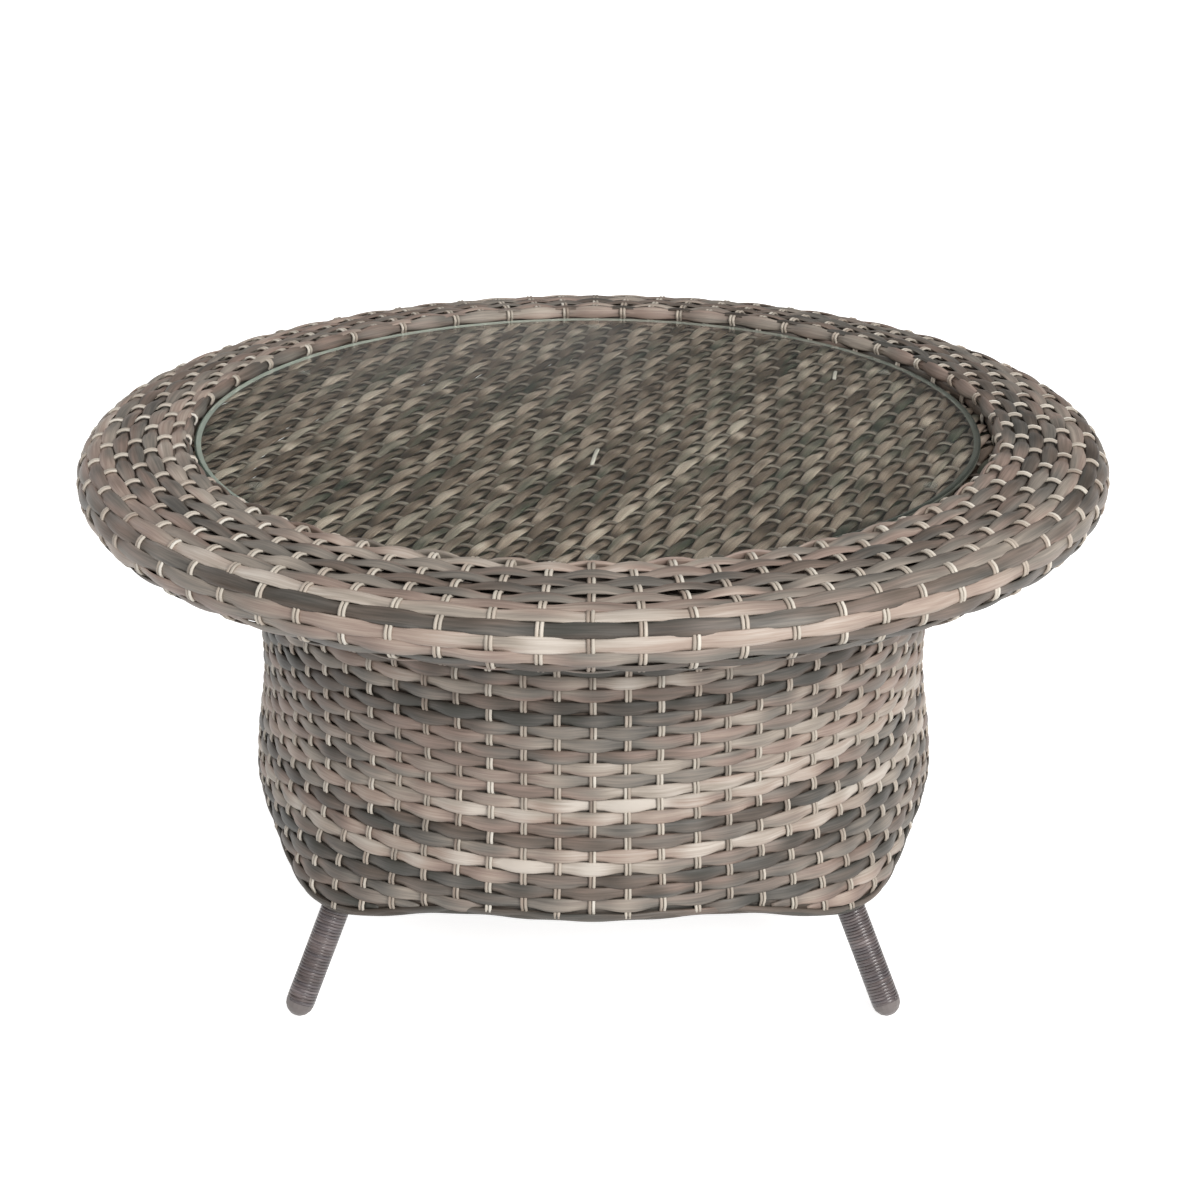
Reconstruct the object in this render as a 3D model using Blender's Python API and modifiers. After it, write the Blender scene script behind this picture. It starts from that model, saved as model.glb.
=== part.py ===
"""Round wicker coffee table with a loose glass top.

A woven rim and a woven deck cover the top frame. A woven barrel covers the base frame, and its lower edge
dips to four splayed legs. The glass lies in the rim's recess on clear pads.

Units are metres and +Z is up. The origin is on the floor under the table's centre, and the front faces -Y.
"""

import math

import bmesh
import bpy
from mathutils import Matrix, Vector

# Whole table
GAP = 0.0003
MERGE = 0.00005
SKIN = 0.0045
SEGMENTS = 72
RING_SEGMENTS = 48
LEG_ANGLES = [math.radians(a) for a in (-135.0, -45.0, 45.0, 135.0)]

# Rim: a rounded outer edge, a top that falls gently outwards, and a recess for the glass
NOSE_R = 0.432
NOSE_RADIUS = 0.025
NOSE_Z = 0.4365
OPENING_R = 0.357
INNER_EDGE_RADIUS = 0.007
TOP_FALL = math.radians(5.5)
INNER_WALL_BOTTOM_Z = 0.444
UNDERSIDE_INNER_R = 0.302

# Glass, pads and deck
GLASS_R = 0.350
GLASS_THICKNESS = 0.005
GLASS_TOP_Z = 0.459
GLASS_SHIFT_X = -0.005
PAD_COUNT = 6
PAD_RADIUS = 0.006
PAD_PLACE_R = 0.325
PAD_THICKNESS = 0.0014
DECK_R = OPENING_R - 0.0005
DECK_THICKNESS = 0.006

# Top frame
OUTER_RING_TUBE = 0.0195
INNER_RING_R = 0.3685
INNER_RING_Z = 0.4555
INNER_RING_TUBE = 0.0055
DECK_RING_R = 0.335
DECK_RING_TUBE = 0.005
BAR_TUBE = 0.0085
POST_RADIUS = 0.004

# Barrel: straight at the top, flared below, with a bulge and a dip at each leg
BODY_TOP_R = 0.3065
BODY_LOW_R = 0.318
FLARE_TOP_Z = 0.250
FLARE_LOW_Z = 0.140
BULGE = 0.0150
BULGE_TOP_Z = 0.185
BULGE_LOW_Z = 0.100
BULGE_POWER = 8
EDGE_HIGH_Z = 0.130
EDGE_DIP = 0.034
EDGE_POWER = 5
BODY_ROWS = 12
ROW_CROWDING = 1.5

# Base frame
BASE_RING_R = 0.2925
BASE_RING_TUBE = 0.008
RAIL_TUBE = 0.006
RAIL_RISE = 0.0072
RAIL_CLEARANCE = 0.0012
RAIL_POINTS = 17
RAIL_END_ANGLE = math.radians(41.6)
PLATE_THICKNESS = 0.003
PLATE_LENGTH = 0.028
PLATE_WIDTH = 0.034
PLATE_PLACE_R = 0.287
BOLT_PLACE_R = 0.2785
BOLT_SHANK = 0.003
BOLT_HEAD = 0.005
BOLT_HEAD_HEIGHT = 0.0034
BOLT_REACH = 0.012
BOLT_HOLE_START = 0.010

# Legs: upright inside the barrel, splayed below it
LEG_UPRIGHT_R = 0.2895
LEG_CORE = 0.0105
LEG_WRAP = 0.0125
LEG_SPLAY = math.radians(30.0)
LEG_BEND_RADIUS = 0.060
LEG_BEND_STEPS = 5
FOOT_R = 0.3616
FOOT_Z = 0.0118
WRAP_TOP_Z = 0.112

# Levels that follow from the sizes above
GLASS_BOTTOM_Z = GLASS_TOP_Z - GLASS_THICKNESS
DECK_TOP_Z = GLASS_BOTTOM_Z - PAD_THICKNESS - 2 * GAP
DECK_BOTTOM_Z = DECK_TOP_Z - DECK_THICKNESS
DECK_RING_Z = DECK_BOTTOM_Z - GAP - DECK_RING_TUBE
BAR_Z = DECK_RING_Z - DECK_RING_TUBE - GAP - BAR_TUBE
BAR_END_R = NOSE_R - OUTER_RING_TUBE - GAP
PLATE_Z = BAR_Z - BAR_TUBE - GAP - PLATE_THICKNESS / 2
BASE_RING_Z = PLATE_Z - PLATE_THICKNESS / 2 - GAP - BASE_RING_TUBE
UNDERSIDE_Z = NOSE_Z - NOSE_RADIUS
BODY_TOP_Z = UNDERSIDE_Z - GAP

WEAVE_COLOUR = (0.30, 0.25, 0.21)
DECK_COLOUR = (0.16, 0.13, 0.10)
FRAME_COLOUR = (0.10, 0.075, 0.06)
WRAP_COLOUR = (0.22, 0.17, 0.16)


def clear_scene():
    """Remove whatever objects and collections the scene holds."""
    for item in list(bpy.data.objects):
        bpy.data.objects.remove(item, do_unlink=True)
    for group in list(bpy.data.collections):
        bpy.data.collections.remove(group)


def make_collection(name):
    group = bpy.data.collections.new(name)
    bpy.context.scene.collection.children.link(group)
    return group


def make_material(name, colour, roughness, metallic=0.0, alpha=1.0):
    material = bpy.data.materials.new(name)
    material.use_nodes = True
    shader = material.node_tree.nodes["Principled BSDF"]
    shader.inputs["Base Color"].default_value = (*colour, 1.0)
    shader.inputs["Roughness"].default_value = roughness
    shader.inputs["Metallic"].default_value = metallic
    shader.inputs["Alpha"].default_value = alpha
    return material


def add_mesh(name, mesh, material, group):
    """Put a finished mesh into the table's collection as one named piece."""
    item = bpy.data.objects.new(name, mesh)
    mesh.materials.append(material)
    group.objects.link(item)
    return item


def mesh_from_bmesh(name, shape, smooth=True):
    mesh = bpy.data.meshes.new(name)
    bmesh.ops.recalc_face_normals(shape, faces=shape.faces)
    shape.to_mesh(mesh)
    shape.free()
    if smooth:
        mesh.shade_smooth()
        mesh.set_sharp_from_angle(angle=math.radians(35.0))
    return mesh


def radial(radius, angle, z):
    """A point at a radius and an angle from +X."""
    return Vector((radius * math.cos(angle), radius * math.sin(angle), z))


def arc(centre_r, centre_z, radius, start, end, count):
    """Points (r, z) on an arc, with angles in degrees from straight up, turning outwards."""
    points = []
    for step in range(count):
        turn = math.radians(start + (end - start) * step / (count - 1))
        points.append((centre_r + radius * math.sin(turn), centre_z + radius * math.cos(turn)))
    return points


def add_solidify(item, thickness, offset):
    shell = item.modifiers.new("wall", "SOLIDIFY")
    shell.thickness = thickness
    shell.offset = offset
    shell.use_even_offset = True
    return shell


def turned_shell(name, profile, thickness, material, group):
    """A turned skin: an open profile swept round Z, thickened towards its inner side."""
    mesh = bpy.data.meshes.new(name)
    shape = bmesh.new()
    corners = [shape.verts.new((r, 0.0, z)) for r, z in profile]
    for start, end in zip(corners, corners[1:]):
        shape.edges.new((start, end))
    shape.to_mesh(mesh)
    shape.free()
    item = add_mesh(name, mesh, material, group)
    turn = item.modifiers.new("turn", "SCREW")
    turn.angle = math.tau
    turn.steps = SEGMENTS
    turn.render_steps = SEGMENTS
    turn.use_merge_vertices = True
    turn.merge_threshold = MERGE
    turn.use_smooth_shade = True
    add_solidify(item, thickness, -1.0)
    return item


def cylinder(name, radius, start, end, material, group, sides=24, bevel=0.0):
    """A round bar from start to end."""
    run = Vector(end) - Vector(start)
    middle = (Vector(end) + Vector(start)) / 2
    turn = Vector((0.0, 0.0, 1.0)).rotation_difference(run.normalized()).to_matrix().to_4x4()
    shape = bmesh.new()
    bmesh.ops.create_cone(shape, cap_ends=True, segments=sides, radius1=radius, radius2=radius,
                          depth=run.length)
    item = add_mesh(name, mesh_from_bmesh(name, shape), material, group)
    item.matrix_world = Matrix.Translation(middle) @ turn
    if bevel:
        edge = item.modifiers.new("edge", "BEVEL")
        edge.width = bevel
        edge.segments = 1
        edge.limit_method = "ANGLE"
        edge.angle_limit = math.radians(40.0)
    return item


def ring(name, radius, tube_radius, z, material, group, sides=8):
    """A ring tube round the table's axis."""
    bpy.ops.mesh.primitive_torus_add(location=(0.0, 0.0, z), major_radius=radius, minor_radius=tube_radius,
                                     major_segments=RING_SEGMENTS, minor_segments=sides)
    item = bpy.context.object
    item.name = name
    item.data.name = name
    item.data.materials.append(material)
    item.data.shade_smooth()
    for holder in list(item.users_collection):
        holder.objects.unlink(item)
    group.objects.link(item)
    return item


def tube(name, points, radius, material, group, bevel_resolution=2):
    """A round tube along a list of points, with closed ends."""
    curve = bpy.data.curves.new(name, "CURVE")
    curve.dimensions = "3D"
    curve.bevel_depth = radius
    curve.bevel_resolution = bevel_resolution
    curve.use_fill_caps = True
    spline = curve.splines.new("POLY")
    spline.points.add(len(points) - 1)
    for knot, point in zip(spline.points, points):
        knot.co = (*point, 1.0)
    curve.materials.append(material)
    item = bpy.data.objects.new(name, curve)
    group.objects.link(item)
    return item


def cut(item, cutter):
    hole = item.modifiers.new("cut", "BOOLEAN")
    hole.operation = "DIFFERENCE"
    hole.object = cutter


def make_rim(material, group):
    """The woven skin of the rim, from the recess wall over the top and the nose to the underside."""
    edge_r = OPENING_R + INNER_EDGE_RADIUS
    fall = math.degrees(TOP_FALL)
    nose_top_r = NOSE_R + NOSE_RADIUS * math.sin(TOP_FALL)
    nose_top_z = NOSE_Z + NOSE_RADIUS * math.cos(TOP_FALL)
    edge_top_z = nose_top_z + (nose_top_r - edge_r) * math.tan(TOP_FALL)
    edge_z = edge_top_z - INNER_EDGE_RADIUS
    profile = [(OPENING_R, INNER_WALL_BOTTOM_Z)]
    profile += arc(edge_r, edge_z, INNER_EDGE_RADIUS, -90.0, fall, 4)
    profile += arc(NOSE_R, NOSE_Z, NOSE_RADIUS, fall, 180.0, 8)
    profile.append((UNDERSIDE_INNER_R, UNDERSIDE_Z))
    turned_shell("rim_weave", profile, SKIN, material, group)


def make_deck(material, group):
    cylinder("deck_weave", DECK_R, (0.0, 0.0, DECK_BOTTOM_Z), (0.0, 0.0, DECK_TOP_Z), material, group,
             sides=SEGMENTS)


def make_glass(glass, pad, group):
    """The loose disc, pushed a little to the left in its recess, and the pads it lies on."""
    cylinder("glass_top", GLASS_R, (GLASS_SHIFT_X, 0.0, GLASS_BOTTOM_Z), (GLASS_SHIFT_X, 0.0, GLASS_TOP_Z),
             glass, group, sides=SEGMENTS, bevel=0.0008)
    for index in range(PAD_COUNT):
        angle = math.tau * (index + 0.5) / PAD_COUNT
        low = radial(PAD_PLACE_R, angle, DECK_TOP_Z + GAP)
        high = radial(PAD_PLACE_R, angle, DECK_TOP_Z + GAP + PAD_THICKNESS)
        cylinder(f"glass_pad_{index + 1}", PAD_RADIUS, low, high, pad, group, sides=16)


def make_top_frame(material, group, bolt_cutters):
    """Two rim rings, a deck ring, bars over the legs, and posts that hold the inner ring."""
    ring("top_outer_ring", NOSE_R, OUTER_RING_TUBE, NOSE_Z, material, group, sides=10)
    ring("top_inner_ring", INNER_RING_R, INNER_RING_TUBE, INNER_RING_Z, material, group)
    ring("deck_support_ring", DECK_RING_R, DECK_RING_TUBE, DECK_RING_Z, material, group)
    along = LEG_ANGLES[2]
    across = LEG_ANGLES[3]
    side_start = BAR_TUBE + GAP
    bars = [
        cylinder("top_bar_long", BAR_TUBE, radial(-BAR_END_R, along, BAR_Z), radial(BAR_END_R, along, BAR_Z),
                 material, group, sides=16),
        cylinder("top_bar_left", BAR_TUBE, radial(side_start, across, BAR_Z),
                 radial(BAR_END_R, across, BAR_Z), material, group, sides=16),
        cylinder("top_bar_right", BAR_TUBE, radial(-BAR_END_R, across, BAR_Z),
                 radial(-side_start, across, BAR_Z), material, group, sides=16),
    ]
    for bar in bars:
        for cutter in bolt_cutters:
            cut(bar, cutter)
    post_bottom = BAR_Z + BAR_TUBE + GAP
    post_top = INNER_RING_Z - INNER_RING_TUBE - GAP
    for index, angle in enumerate(LEG_ANGLES):
        cylinder(f"ring_post_{index + 1}", POST_RADIUS, radial(INNER_RING_R, angle, post_bottom),
                 radial(INNER_RING_R, angle, post_top), material, group, sides=12)


def ease(value, low, high):
    """0 at low, 1 at high, with a smooth start and end."""
    share = min(1.0, max(0.0, (value - low) / (high - low)))
    return share * share * (3.0 - 2.0 * share)


def leg_closeness(angle):
    """1 in line with a leg and 0 half way between two legs."""
    return abs(math.sin(2.0 * angle))


def body_radius(angle, z):
    """Outer radius of the barrel's weave."""
    flare = (BODY_LOW_R - BODY_TOP_R) * ease(FLARE_TOP_Z - z, 0.0, FLARE_TOP_Z - FLARE_LOW_Z)
    bulge = BULGE * ease(BULGE_TOP_Z - z, 0.0, BULGE_TOP_Z - BULGE_LOW_Z)
    return BODY_TOP_R + flare + bulge * leg_closeness(angle) ** BULGE_POWER


def edge_height(angle):
    """Height of the barrel's lower edge, which dips to each leg."""
    return EDGE_HIGH_Z - EDGE_DIP * leg_closeness(angle) ** EDGE_POWER


def make_body(material, group):
    """The barrel's woven skin: a sheet wrapped round the table, with its low edge on the scallops.

    Its rows of faces crowd towards the low edge, where the shape changes most.
    """
    shape = bmesh.new()
    bmesh.ops.create_grid(shape, x_segments=SEGMENTS, y_segments=BODY_ROWS, size=0.5)
    for corner in shape.verts:
        angle = math.tau * (corner.co.x + 0.5)
        low = edge_height(angle)
        share = (corner.co.y + 0.5) ** ROW_CROWDING
        z = low + (BODY_TOP_Z - low) * share
        corner.co = radial(body_radius(angle, z), angle, z)
    bmesh.ops.remove_doubles(shape, verts=shape.verts, dist=MERGE)
    item = add_mesh("body_weave", mesh_from_bmesh("body_weave", shape), material, group)
    add_solidify(item, SKIN, -1.0)


def make_base_frame(material, group):
    """The ring at the top of the base, and a rail along each scallop of the lower edge."""
    ring("base_top_ring", BASE_RING_R, BASE_RING_TUBE, BASE_RING_Z, material, group)
    sides = {"right": 0.0, "back": 90.0, "left": 180.0, "front": 270.0}
    for side, middle in sides.items():
        points = []
        for step in range(RAIL_POINTS):
            share = 2.0 * step / (RAIL_POINTS - 1) - 1.0
            angle = math.radians(middle) + share * RAIL_END_ANGLE
            z = edge_height(angle) + RAIL_RISE
            inset = SKIN + RAIL_TUBE + RAIL_CLEARANCE
            points.append(radial(body_radius(angle, z) - inset, angle, z))
        tube(f"bottom_rail_{side}", points, RAIL_TUBE, material, group)


def leg_path():
    """Points (r, z) of a leg's centre line, from its top end to its foot."""
    bend_z = FOOT_Z + (FOOT_R - LEG_UPRIGHT_R) / math.tan(LEG_SPLAY)
    tangent = LEG_BEND_RADIUS * math.tan(LEG_SPLAY / 2)
    bend_top_z = bend_z + tangent
    centre_r = LEG_UPRIGHT_R + LEG_BEND_RADIUS
    points = [(LEG_UPRIGHT_R, BASE_RING_Z - BASE_RING_TUBE - GAP)]
    for step in range(LEG_BEND_STEPS + 1):
        turn = LEG_SPLAY * step / LEG_BEND_STEPS
        points.append((centre_r - LEG_BEND_RADIUS * math.cos(turn),
                       bend_top_z - LEG_BEND_RADIUS * math.sin(turn)))
    points.append((FOOT_R - GAP * math.sin(LEG_SPLAY), FOOT_Z + GAP * math.cos(LEG_SPLAY)))
    return points


def make_leg(index, angle, frame, wrap, glide, group):
    """One leg: its bent tube, the wrapping on the part that shows, and the rounded cap it stands on."""
    tube(f"leg_tube_{index}", [radial(r, angle, z) for r, z in leg_path()], LEG_CORE, frame, group,
         bevel_resolution=3)

    foot = radial(FOOT_R, angle, FOOT_Z)
    rise = WRAP_TOP_Z - FOOT_Z
    top = radial(FOOT_R - rise * math.tan(LEG_SPLAY), angle, WRAP_TOP_Z)
    direction = (top - foot).normalized()
    turn = Vector((0.0, 0.0, 1.0)).rotation_difference(direction).to_matrix().to_4x4()
    low = foot + direction * GAP
    shape = bmesh.new()
    bmesh.ops.create_cone(shape, cap_ends=False, segments=24, radius1=LEG_WRAP, radius2=LEG_WRAP,
                          depth=(top - low).length)
    sleeve = add_mesh(f"leg_wrap_{index}", mesh_from_bmesh("leg_wrap", shape), wrap, group)
    sleeve.matrix_world = Matrix.Translation((top + low) / 2) @ turn
    add_solidify(sleeve, LEG_WRAP - LEG_CORE - GAP, -1.0)

    shape = bmesh.new()
    bmesh.ops.create_uvsphere(shape, u_segments=16, v_segments=8, radius=LEG_WRAP)
    bmesh.ops.transform(shape, matrix=Matrix.Translation(foot) @ turn, verts=shape.verts)
    for point, normal in ((foot, direction), (Vector((0.0, 0.0, 0.0)), Vector((0.0, 0.0, -1.0)))):
        whole = shape.verts[:] + shape.edges[:] + shape.faces[:]
        cutting = bmesh.ops.bisect_plane(shape, geom=whole, plane_co=point, plane_no=normal,
                                         clear_outer=True)
        rim = [part for part in cutting["geom_cut"] if isinstance(part, bmesh.types.BMEdge)]
        bmesh.ops.holes_fill(shape, edges=rim)
    add_mesh(f"foot_glide_{index}", mesh_from_bmesh("foot_glide", shape), glide, group)


def make_bolt_cutters(cutters):
    """Clearance holes for the bolts, through the plates and up into the bars."""
    marking = make_material("cutter_marking", (1.0, 0.0, 0.0), 0.5)
    made = []
    for index, angle in enumerate(LEG_ANGLES):
        low = radial(BOLT_PLACE_R, angle, PLATE_Z - BOLT_HOLE_START)
        high = radial(BOLT_PLACE_R, angle, BAR_Z - BAR_TUBE + BOLT_REACH)
        hole = cylinder(f"bolt_hole_{index + 1}", BOLT_SHANK + GAP, low, high, marking, cutters, sides=16)
        hole.hide_render = True
        hole.display_type = "WIRE"
        made.append(hole)
    return made


def make_plates(material, group, bolt_cutters):
    for index, angle in enumerate(LEG_ANGLES):
        name = f"mount_plate_{index + 1}"
        shape = bmesh.new()
        bmesh.ops.create_cube(shape, size=1.0)
        bmesh.ops.scale(shape, vec=(PLATE_LENGTH, PLATE_WIDTH, PLATE_THICKNESS), verts=shape.verts)
        item = add_mesh(name, mesh_from_bmesh(name, shape, smooth=False), material, group)
        place = Matrix.Translation(radial(PLATE_PLACE_R, angle, PLATE_Z))
        item.matrix_world = place @ Matrix.Rotation(angle, 4, "Z")
        cut(item, bolt_cutters[index])


def make_bolts(material, group):
    """A bolt for each plate: a head under the plate and a shank up into the bar."""
    head_top = PLATE_Z - PLATE_THICKNESS / 2 - GAP
    shank_top = BAR_Z - BAR_TUBE + BOLT_REACH - 2 * GAP
    profile = [
        (0.0, shank_top),
        (BOLT_SHANK, shank_top),
        (BOLT_SHANK, head_top),
        (BOLT_HEAD, head_top),
        (BOLT_HEAD, head_top - BOLT_HEAD_HEIGHT),
        (0.0, head_top - BOLT_HEAD_HEIGHT),
    ]
    shape = bmesh.new()
    corners = [shape.verts.new((r, 0.0, z)) for r, z in profile]
    edges = [shape.edges.new(pair) for pair in zip(corners, corners[1:])]
    bmesh.ops.spin(shape, geom=corners + edges, cent=(0.0, 0.0, 0.0), axis=(0.0, 0.0, 1.0),
                   angle=math.tau, steps=16, use_merge=True)
    bmesh.ops.remove_doubles(shape, verts=shape.verts, dist=MERGE)
    mesh = mesh_from_bmesh("mount_bolt", shape)
    mesh.materials.append(material)
    for index, angle in enumerate(LEG_ANGLES):
        bolt = bpy.data.objects.new(f"mount_bolt_{index + 1}", mesh)
        bolt.location = radial(BOLT_PLACE_R, angle, 0.0)
        group.objects.link(bolt)


def main():
    clear_scene()
    table = make_collection("wicker_coffee_table")
    cutters = make_collection("cutters")

    rim = make_material("rim_wicker", WEAVE_COLOUR, 0.6)
    body = make_material("body_wicker", WEAVE_COLOUR, 0.6)
    deck = make_material("deck_wicker", DECK_COLOUR, 0.6)
    glass = make_material("clear_glass", (0.80, 0.88, 0.84), 0.03, alpha=0.25)
    pad = make_material("clear_pad", (0.85, 0.87, 0.86), 0.2, alpha=0.6)
    frame = make_material("coated_tube", FRAME_COLOUR, 0.5, metallic=0.3)
    wrap = make_material("leg_strand", WRAP_COLOUR, 0.5)
    glide = make_material("glide_plastic", (0.09, 0.08, 0.075), 0.45)
    plate = make_material("plate_metal", (0.32, 0.31, 0.30), 0.4, metallic=0.8)
    bolt = make_material("bolt_steel", (0.55, 0.55, 0.56), 0.3, metallic=1.0)

    bolt_cutters = make_bolt_cutters(cutters)
    make_rim(rim, table)
    make_deck(deck, table)
    make_glass(glass, pad, table)
    make_top_frame(frame, table, bolt_cutters)
    make_body(body, table)
    make_base_frame(frame, table)
    for index, angle in enumerate(LEG_ANGLES):
        make_leg(index + 1, angle, frame, wrap, glide, table)
    make_plates(plate, table, bolt_cutters)
    make_bolts(bolt, table)


main()
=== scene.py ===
"""Looks for the round wicker coffee table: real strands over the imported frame, glass, and a plain studio."""

import math

import bmesh
import bpy
import numpy as np
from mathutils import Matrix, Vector


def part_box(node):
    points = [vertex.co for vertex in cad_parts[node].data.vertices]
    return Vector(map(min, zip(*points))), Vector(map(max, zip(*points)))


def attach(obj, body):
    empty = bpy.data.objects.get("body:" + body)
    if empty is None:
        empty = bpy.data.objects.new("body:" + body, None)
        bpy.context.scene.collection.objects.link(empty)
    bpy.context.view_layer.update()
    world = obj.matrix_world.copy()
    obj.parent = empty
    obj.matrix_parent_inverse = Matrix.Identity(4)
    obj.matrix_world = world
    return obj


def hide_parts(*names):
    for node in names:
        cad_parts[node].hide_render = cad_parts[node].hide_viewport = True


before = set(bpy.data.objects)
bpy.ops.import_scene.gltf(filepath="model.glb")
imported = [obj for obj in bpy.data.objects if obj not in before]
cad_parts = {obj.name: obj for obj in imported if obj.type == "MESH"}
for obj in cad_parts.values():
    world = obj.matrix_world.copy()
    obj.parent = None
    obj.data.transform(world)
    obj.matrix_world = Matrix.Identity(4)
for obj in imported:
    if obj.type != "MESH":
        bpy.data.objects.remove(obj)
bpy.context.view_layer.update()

TAU = math.tau
UP = np.array([0.0, 0.0, 1.0])

# Rim outline, as in the CAD part, in metres
NOSE_R = 0.432
NOSE_RADIUS = 0.025
NOSE_Z = 0.4365
OPENING_R = 0.357
EDGE_RADIUS = 0.007
TOP_FALL = math.radians(5.5)
WALL_LOW_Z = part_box("deck_weave")[0].z + 0.001
UNDERSIDE_IN_R = 0.3065

# Rim weave
RIM_WARPS = 76
RIM_FIRST_ROW = 0.0044
RIM_PITCH = 0.0124
RIM_ROWS = 24
RIM_TOP_ROWS = 9
# The rows down to the recess lip sit this much deeper, and the lip's row gets painted shade towards the back
# right
LIP_ROW = 2
LIP_DROP = 0.0010
LIP_DARK = 0.48
LIP_DARK_ANGLE = math.radians(55.0)
# The rim darkens by this towards its right side, as painted shade
RIM_RIGHT_DARK = 0.12
# Groups of rows: the last row of each, its wave, and its half width where it dives and at its crest
RIM_ROW_SHAPES = [
    (0, 0.0012, 0.0046, 0.0062),
    (6, 0.0019, 0.0046, 0.0068),
    (12, 0.0011, 0.0058, 0.0066),
    (RIM_ROWS - 1, 0.0014, 0.0050, 0.0066),
]

# Barrel outline
BODY_TOP_R = 0.3065
BODY_LOW_R = 0.318
FLARE_TOP_Z = 0.250
FLARE_LOW_Z = 0.140
BULGE = 0.0150
BULGE_TOP_Z = 0.185
BULGE_LOW_Z = 0.100
BULGE_POWER = 8
EDGE_HIGH_Z = 0.130
EDGE_DIP = 0.034
EDGE_POWER = 5
BODY_TOP_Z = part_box("body_weave")[1].z

# Barrel weave
BODY_WARPS = 68
BODY_PITCH = 0.0109
BODY_ROWS = int((BODY_TOP_Z - EDGE_HIGH_Z + EDGE_DIP) / BODY_PITCH)
BODY_WAVE = 0.0016
BODY_HALF_WIDTHS = (0.0048, 0.0064)
# A row stops this far over the lower edge
BODY_ROW_END = 0.0048
# Its last steps dive by this, and narrow to this share of its width
END_STEPS = 3.0
BODY_END_TUCK = 0.0022
END_SHARE = 0.40
# A stretch of a row with fewer steps than this is left out
SHORTEST_STRETCH = 6
# The row tones shift by this many rows, up at the right and down at the left
BODY_TONE_SHIFT = 1.8
# The barrel darkens by this all over, and by this towards its left side as painted shade
BODY_DARK = 0.02
BODY_LEFT_DARK = 0.10

# Strands along the barrel's lower edge: rise over the edge, depth under the skin, half width, tone
BORDER_STRANDS = [
    (0.0034, 0.0018, 0.0029, 0.22),
    (0.0012, 0.0028, 0.0025, 0.14),
    (0.0024, 0.0045, 0.0034, 0.10),
]
BORDER_WAVE = 0.0007

# Flat backing strands: depth under the skin, half width, half thickness, tone
RIM_BACKING = (0.0053, 0.0036, 0.0002, 0.32)
BODY_BACKING = (0.0057, 0.0052, 0.0003, 0.40)
BORDER_BACKING = (0.0050, 0.0072, 0.0002, 0.20)
# How far over the lower edge the border's backing strands run
BORDER_BACKING_RISES = (0.0088, 0.0190)
# The barrel's other backing strands stop this far over it, clear of the rails inside
BODY_BACKING_RISE = 0.0205

# Deck weave
DECK_R = 0.3560
DECK_LOW_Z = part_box("deck_weave")[0].z
DECK_TOP_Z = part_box("deck_weave")[1].z
DECK_MIDDLE_Z = DECK_TOP_Z - 0.0032
DECK_WEAVER_ANGLE = math.radians(65.0)
DECK_PITCH = 0.0116
DECK_WARP_PITCH = 0.0305
DECK_HALF_WIDTHS = (0.0036, 0.0054)
DECK_HALF_THICKNESS = 0.0014
DECK_WAVE = 0.0015
DECK_TONE = 0.475
# Backing under the deck, dark as painted shade in the gaps between rows: half width, half thickness, tone
DECK_BACKING = (0.0055, 0.0002, 0.10)
DECK_BACKING_POINTS = 24
# Rows and cords with half a length under this are left out
DECK_SHORTEST = 0.03
DECK_RUN = np.array([math.cos(DECK_WEAVER_ANGLE), math.sin(DECK_WEAVER_ANGLE), 0.0])
DECK_CROSS = np.array([math.sin(DECK_WEAVER_ANGLE), -math.cos(DECK_WEAVER_ANGLE), 0.0])
# Turns a distance along the deck into a phase for its ripples
DECK_PHASE = 9.0
# Loose pale strand ends on the deck: where each starts and stops, and the points along it
LOOSE_END_POINTS = 7
LOOSE_ENDS = [((-0.001, -0.104), (0.004, -0.062)), ((0.232, 0.146), (0.236, 0.172))]

# Legs, from the front left round to the back left
LEG_ANGLES = [math.radians(a) for a in (-135.0, -45.0, 45.0, 135.0)]
LEG_SPLAY = math.radians(30.0)
LEG_WRAP_R = 0.0125
FOOT_R = 0.3616
FOOT_Z = 0.0118
WRAP_TOP_Z = 0.112
WRAP_PITCH = 0.0027
WRAP_HALF_WIDTH = WRAP_PITCH * 0.52
WRAP_HALF_THICKNESS = 0.0007
WRAP_STEPS = 24

# Glass: the ground band under its edge and the arris round its top are this wide
GLASS_STEPS = 240
GROUND_BAND = 0.0060
ARRIS = 0.0018
# The material of each band of the outline, from below: 1 is ground, 2 is the arris
GLASS_BANDS = (1, 1, 1, 2, 2)

# Camera: focal length in mm, place, and degrees it looks down
CAMERA_LENS = 64.5
CAMERA_PLACE = (0.006, -1.85, 1.0636)
CAMERA_DOWN = 22.84

# Depth of the strands' centre lines under the CAD skin, and of the cords' centre lines over those
WEAVE_DEPTH = 0.0024
CORD_RISE = 0.0004
WEAVER_HALF_THICKNESS = 0.0016
STEPS_PER_WARP = 6

# Twin cords: half the distance between them, half width, half thickness, tone
RIM_CORD = (0.0017, 0.0015, 0.0012, 0.64)
BODY_CORD = (0.0015, 0.0014, 0.0011, 0.54)
DECK_CORD = (0.0014, 0.0011, 0.0009, 0.16)
# One cord of a pair is darker than their tone by this, and the other is paler by it
TWIN_TONE = 0.08

# How many waves each random ripple has round the table, or along a cord
TONE_WAVES = (3, 5, 8, 11, 17)
WIDTH_WAVES = (17, 23, 29, 31)
ROLL_WAVES = (13, 19, 27)
CORD_WAVES = (0.6, 1.1, 1.9)

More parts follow.
